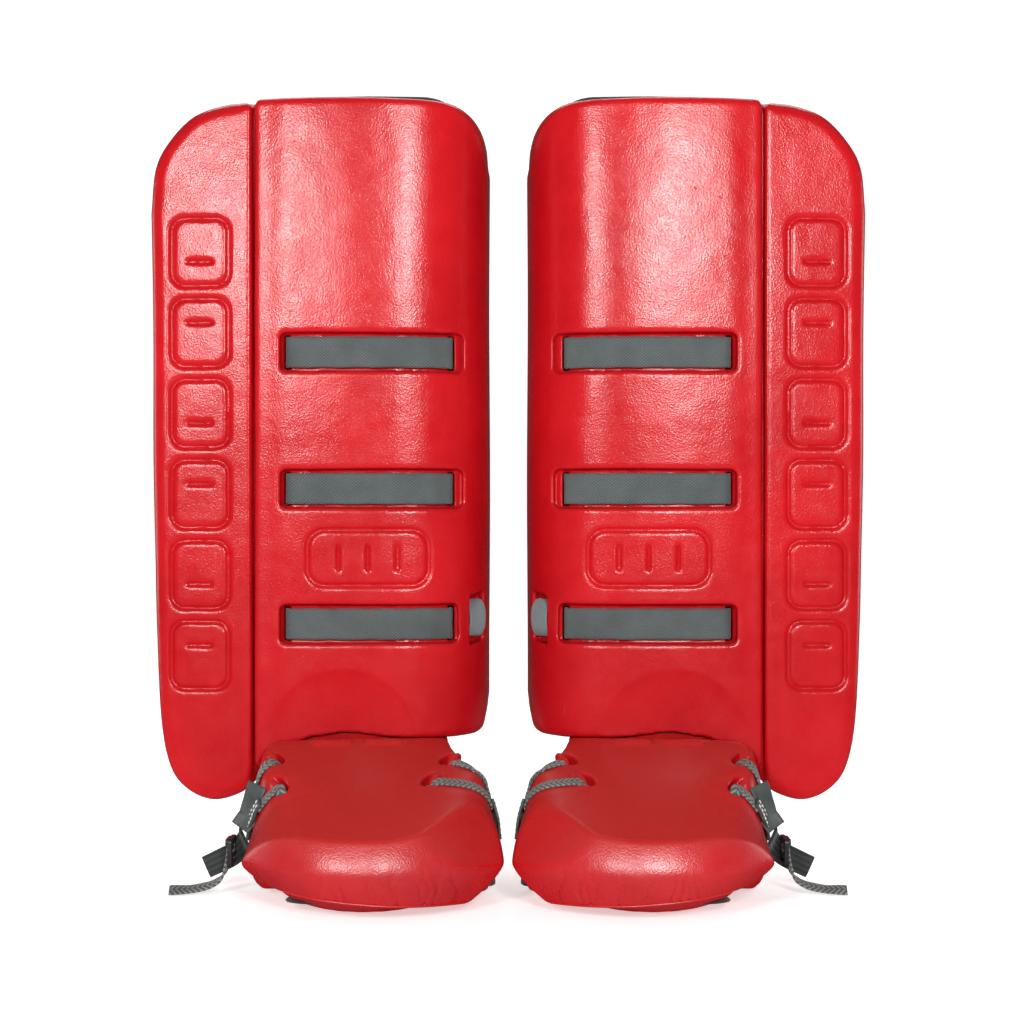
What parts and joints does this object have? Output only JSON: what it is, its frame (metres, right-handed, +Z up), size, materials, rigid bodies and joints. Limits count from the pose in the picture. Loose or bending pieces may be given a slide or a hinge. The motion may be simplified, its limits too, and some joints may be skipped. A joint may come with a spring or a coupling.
{
  "type": "field hockey goalkeeper leg guards and kickers",
  "caption": "Moulded foam leg guards with recessed strap pockets and outer wings, above strapped foam kickers with laced webbing, toe inserts and buckled calf straps.",
  "frame": {"origin": "floor under the middle of the pair's bounding box", "axes": "+Z up the legs, toes towards -Y, wearer's right leg at -X"},
  "size_m": [0.59, 0.3163, 0.6362],
  "materials": {
    "foam": "closed-cell moulded foam with a fine leathery skin",
    "lining": "brushed knit over soft foam",
    "webbing": "woven tape",
    "light_webbing": "woven tape",
    "elastic": "ribbed elastic",
    "keeper": "smooth folded synthetic with stitching",
    "buckle_plastic": "satin moulded"
  },
  "bodies": {
    "right_kicker": {"right_kicker_shell": "foam", "right_toe_insert": "foam", "right_outer_lace": "webbing", "right_inner_lace": "webbing", "right_lace_keepers": "keeper", "right_sole_strap": "webbing", "right_toe_strap": "elastic"},
    "right_guard": {"right_guard_shell": "foam", "right_ankle_loop": "light_webbing", "right_shin_liner": "lining", "right_knee_pad": "lining", "right_calf_pads": "lining", "right_top_strap": "webbing", "right_mid_strap": "webbing", "right_low_strap": "webbing", "right_buckle_sockets": "buckle_plastic"},
    "right_top_clip": {"right_top_tongue": "buckle_plastic", "right_top_prongs": "buckle_plastic", "right_top_elastic": "elastic"},
    "right_mid_clip": {"right_mid_tongue": "buckle_plastic", "right_mid_prongs": "buckle_plastic", "right_mid_elastic": "elastic"},
    "right_low_clip": {"right_low_tongue": "buckle_plastic", "right_low_prongs": "buckle_plastic", "right_low_elastic": "elastic"},
    "right_heel_strap": {"right_heel_strap": "webbing", "right_heel_slider": "buckle_plastic"},
    "right_ladder_lock": {"right_ladder_lock": "buckle_plastic"},
    "right_strap_tail": {"right_strap_tail": "webbing"},
    "left_kicker": {"left_kicker_shell": "foam", "left_toe_insert": "foam", "left_outer_lace": "webbing", "left_inner_lace": "webbing", "left_lace_keepers": "keeper", "left_sole_strap": "webbing", "left_toe_strap": "elastic"},
    "left_guard": {"left_guard_shell": "foam", "left_ankle_loop": "light_webbing", "left_shin_liner": "lining", "left_knee_pad": "lining", "left_calf_pads": "lining", "left_top_strap": "webbing", "left_mid_strap": "webbing", "left_low_strap": "webbing", "left_buckle_sockets": "buckle_plastic"},
    "left_top_clip": {"left_top_tongue": "buckle_plastic", "left_top_prongs": "buckle_plastic", "left_top_elastic": "elastic"},
    "left_mid_clip": {"left_mid_tongue": "buckle_plastic", "left_mid_prongs": "buckle_plastic", "left_mid_elastic": "elastic"},
    "left_low_clip": {"left_low_tongue": "buckle_plastic", "left_low_prongs": "buckle_plastic", "left_low_elastic": "elastic"},
    "left_heel_strap": {"left_heel_strap": "webbing", "left_heel_slider": "buckle_plastic"},
    "left_ladder_lock": {"left_ladder_lock": "buckle_plastic"},
    "left_strap_tail": {"left_strap_tail": "webbing"}
  },
  "joints": [
    {"name": "right_guard_lean", "type": "hinge", "parent": "right_kicker", "child": "right_guard", "pos_m": [-0.112, 0.027, 0.128], "axis": [1, 0, 0], "range_deg": [-10, 10]},
    {"name": "right_top_buckle_release", "type": "slide", "parent": "right_guard", "child": "right_top_clip", "axis": [1, 0, 0], "range_m": [0, 0.026], "deforming": ["right_top_elastic", "right_top_prongs"]},
    {"name": "right_mid_buckle_release", "type": "slide", "parent": "right_guard", "child": "right_mid_clip", "axis": [1, 0, 0], "range_m": [0, 0.026], "deforming": ["right_mid_elastic", "right_mid_prongs"]},
    {"name": "right_low_buckle_release", "type": "slide", "parent": "right_guard", "child": "right_low_clip", "axis": [1, 0, 0], "range_m": [0, 0.026], "deforming": ["right_low_elastic", "right_low_prongs"]},
    {"name": "right_heel_strap_swing", "type": "hinge", "parent": "right_kicker", "child": "right_heel_strap", "pos_m": [-0.112, 0.081, 0.0425], "axis": [1, 0, 0], "range_deg": [-12, 40]},
    {"name": "right_ladder_lock_tilt", "type": "hinge", "parent": "right_kicker", "child": "right_ladder_lock", "pos_m": [-0.216, -0.047, 0.0445], "axis": [0, 1, 0], "range_deg": [0, 35]},
    {"name": "right_strap_tail_swing", "type": "hinge", "parent": "right_ladder_lock", "child": "right_strap_tail", "pos_m": [-0.2196, -0.047, 0.031], "axis": [0, 1, 0], "range_deg": [0, 24]},
    {"name": "left_guard_lean", "type": "hinge", "parent": "left_kicker", "child": "left_guard", "pos_m": [0.112, 0.027, 0.128], "axis": [1, 0, 0], "range_deg": [-10, 10]},
    {"name": "left_top_buckle_release", "type": "slide", "parent": "left_guard", "child": "left_top_clip", "axis": [-1, 0, 0], "range_m": [0, 0.026], "deforming": ["left_top_elastic", "left_top_prongs"]},
    {"name": "left_mid_buckle_release", "type": "slide", "parent": "left_guard", "child": "left_mid_clip", "axis": [-1, 0, 0], "range_m": [0, 0.026], "deforming": ["left_mid_elastic", "left_mid_prongs"]},
    {"name": "left_low_buckle_release", "type": "slide", "parent": "left_guard", "child": "left_low_clip", "axis": [-1, 0, 0], "range_m": [0, 0.026], "deforming": ["left_low_elastic", "left_low_prongs"]},
    {"name": "left_heel_strap_swing", "type": "hinge", "parent": "left_kicker", "child": "left_heel_strap", "pos_m": [0.112, 0.081, 0.0425], "axis": [1, 0, 0], "range_deg": [-12, 40]},
    {"name": "left_ladder_lock_tilt", "type": "hinge", "parent": "left_kicker", "child": "left_ladder_lock", "pos_m": [0.216, -0.047, 0.0445], "axis": [0, -1, 0], "range_deg": [0, 35]},
    {"name": "left_strap_tail_swing", "type": "hinge", "parent": "left_ladder_lock", "child": "left_strap_tail", "pos_m": [0.2196, -0.047, 0.031], "axis": [0, -1, 0], "range_deg": [0, 24]},
    {"name": "stance_width", "type": "slide", "parent": "right_kicker", "child": "left_kicker", "axis": [1, 0, 0], "range_m": [0, 0.3]}
  ]
}
